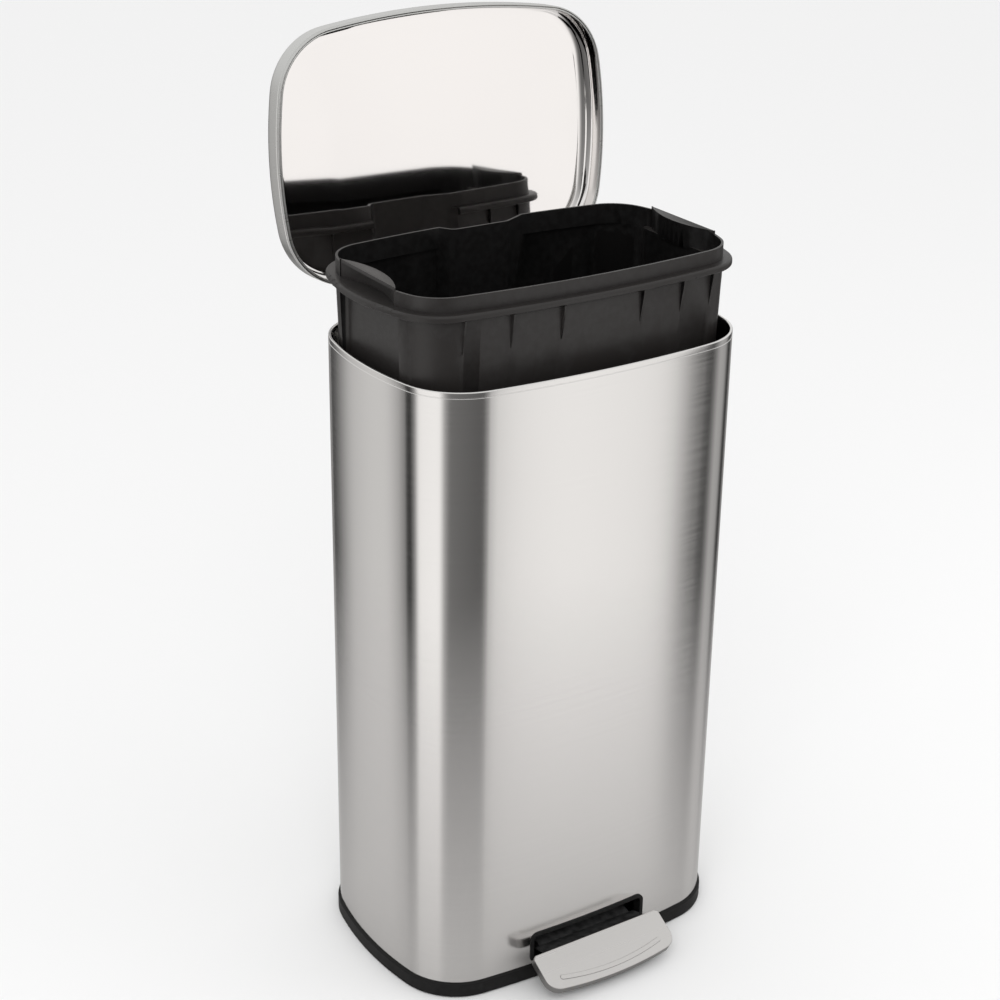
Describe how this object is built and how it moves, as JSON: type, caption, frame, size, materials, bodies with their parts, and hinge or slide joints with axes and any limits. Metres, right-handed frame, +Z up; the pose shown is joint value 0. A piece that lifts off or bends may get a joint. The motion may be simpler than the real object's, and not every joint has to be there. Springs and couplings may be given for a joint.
{
  "type": "pedal trash can",
  "caption": "Free-standing rounded-rectangle step can with a steel shell, hinged lid, front pedal, lift rod and a lift-out inner bucket.",
  "frame": {"origin": "on the floor under the middle of the steel shell's footprint, which is also within 2 mm of the middle of the whole object's footprint as stored", "axes": "+Z up; -Y is the front, where the pedal is; +Y is the back, where the lid is hinged; +X is to the right seen from the front"},
  "size_m": [0.3572, 0.343, 0.8567],
  "materials": {
    "brushed_shell": "fine vertical-reflection brushed stainless, clear coated",
    "satin_lid": "satin stainless with a brighter rolled hem",
    "polished_panel": "bright polished inner panel",
    "satin_pedal": "satin silver",
    "black_plastic": "moulded, lightly textured",
    "bucket_plastic": "moulded charcoal, semi-matte",
    "black_steel": "black powder coat",
    "plated_steel": "bright zinc plate",
    "channel_steel": "plain mill-finish sheet",
    "white_nylon": "natural nylon",
    "foot_rubber": "matte"
  },
  "bodies": {
    "housing": {"outer_shell": "brushed_shell", "base_tray": "black_plastic", "foot_pads": "foot_rubber", "base_screws": "plated_steel", "mechanism_cover": "black_plastic", "pedal_slot_bezel": "black_plastic", "pivot_bracket_right": "plated_steel", "pivot_bracket_left": "plated_steel", "bracket_rivets": "plated_steel", "pedal_pivot_pin": "plated_steel", "pin_clips": "plated_steel", "rod_guides": "white_nylon", "rod_channel": "channel_steel", "damper_body": "black_plastic", "damper_clamp": "black_plastic", "hinge_housing": "black_plastic", "hinge_cover": "black_plastic", "lid_stop_pad": "foot_rubber", "hinge_pin": "plated_steel", "hinge_backplate": "plated_steel", "hinge_screws": "plated_steel"},
    "pedal": {"pedal_pad": "satin_pedal", "pedal_lever": "black_steel", "pedal_screws": "plated_steel", "lever_bushes": "white_nylon", "lever_cap": "white_nylon"},
    "rod": {"lift_rod": "plated_steel", "rod_foot": "white_nylon", "rod_cap": "white_nylon", "damper_plunger": "plated_steel"},
    "lid": {"lid_shell": "satin_lid", "lid_inner_panel": "polished_panel", "lid_hinge_bracket": "black_steel", "lid_bracket_rivets": "plated_steel", "hinge_bushes": "white_nylon"},
    "bucket": {"inner_bucket": "bucket_plastic"}
  },
  "joints": [
    {"name": "lid_hinge", "type": "hinge", "parent": "housing", "child": "lid", "pos_m": [0, 0.1305, 0.6045], "axis": [1, 0, 0], "range_deg": [0, 93.6]},
    {"name": "pedal_pivot", "type": "hinge", "parent": "housing", "child": "pedal", "pos_m": [0, -0.068, 0.024], "axis": [1, 0, 0], "range_deg": [-13, 0]},
    {"name": "rod_lift", "type": "slide", "parent": "housing", "child": "rod", "axis": [0, 0, 1], "range_m": [-0.039, 0]},
    {"name": "bucket_lift", "type": "slide", "parent": "housing", "child": "bucket", "axis": [0, 0, 1], "range_m": [-0.0541, 0]}
  ],
  "couplings": [
    {"joint": "pedal_pivot", "follows": "lid_hinge", "ratio": -0.1388},
    {"joint": "rod_lift", "follows": "lid_hinge", "m_per_rad": -0.02387},
    {"joint": "bucket_lift", "follows": "lid_hinge", "m_per_rad": -0.0331}
  ]
}
